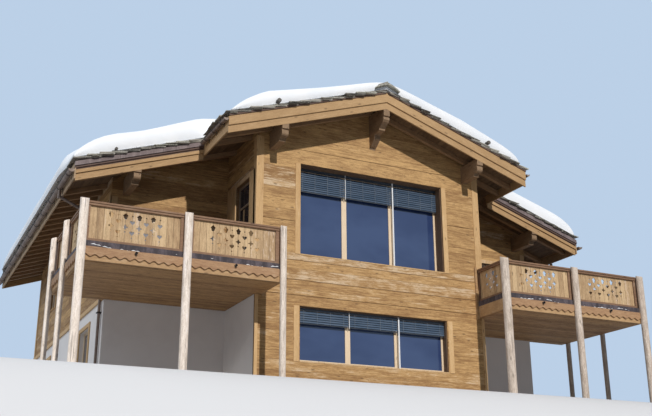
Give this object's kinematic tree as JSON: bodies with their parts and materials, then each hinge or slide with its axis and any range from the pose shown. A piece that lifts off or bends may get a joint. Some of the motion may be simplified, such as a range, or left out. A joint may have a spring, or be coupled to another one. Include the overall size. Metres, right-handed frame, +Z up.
{
  "type": "alpine chalet",
  "caption": "Two-storey alpine chalet with a plastered ground floor, timber upper storey, gabled front bay, post-carried balconies, stepped roof and snow.",
  "frame": {"origin": "on the ground under the ridge, near the middle of the building's depth", "axes": "+X to the right along the front, +Y from the front to the rear, +Z up"},
  "size_m": [17.37, 15.785, 9.25],
  "materials": {
    "concrete": "cast concrete, matte",
    "floor_boards": "plain boards, matte",
    "plaster": "fine rendered plaster, matte off-white",
    "siding": "weathered horizontal boards, golden tan to grey brown",
    "pale_boards": "planed light boards, satin",
    "beams": "hewn beams with carved ends, weathered",
    "soffit_boards": "dark stained boards, matte",
    "planks": "vertical planks and carved boards, matte tan",
    "rail_wood": "brown stained rails, matte",
    "debarked_logs": "debarked round logs, weathered grey beige",
    "stone_slates": "split stone slates, rough dark grey",
    "snow": "settled snow, matte white",
    "copper_sheet": "aged copper sheet, dull dark brown",
    "dark_sheet": "dark sheet covering with a kerb, matte",
    "window_panes": "dark blue reflecting panes",
    "blind_slats": "slate blue metal slats, satin"
  },
  "bodies": {
    "root": {"ground_floor": "concrete", "upper_floor": "floor_boards", "lower_wall_left": "plaster", "lower_wall_right": "plaster", "lower_wall_rear": "plaster", "lower_front_walls": "plaster", "bay_front_wall": "siding", "bay_side_walls": "siding", "upper_wall_left": "siding", "upper_wall_right": "siding", "rear_gable_wall": "siding", "upper_wing_fronts": "siding", "roof_left": "soffit_boards", "roof_right": "soffit_boards", "slates_left": "stone_slates", "slates_right": "stone_slates", "snow_left": "snow", "snow_right": "snow", "front_verge_boards": "pale_boards", "wing_verge_boards": "pale_boards", "verge_flashings": "copper_sheet", "rear_verge_boards": "pale_boards", "eave_boards": "pale_boards", "purlins": "beams", "rafters_left": "soffit_boards", "rafters_right": "soffit_boards", "gutters": "copper_sheet", "downpipes": "copper_sheet", "snow_guard_logs": "beams", "front_window_frames": "pale_boards", "front_glass": "window_panes", "front_blinds": "blind_slats", "facade_trim": "pale_boards", "balcony_door_frames": "pale_boards", "balcony_door_glass": "window_panes", "window_frames": "pale_boards", "window_glass": "window_panes", "rear_door": "beams", "balcony_floors": "soffit_boards", "balcony_decks": "dark_sheet", "balcony_beams": "beams", "wave_boards": "planks", "balcony_posts": "debarked_logs", "balcony_rails": "rail_wood", "balcony_panels": "planks"}
  },
  "joints": []
}
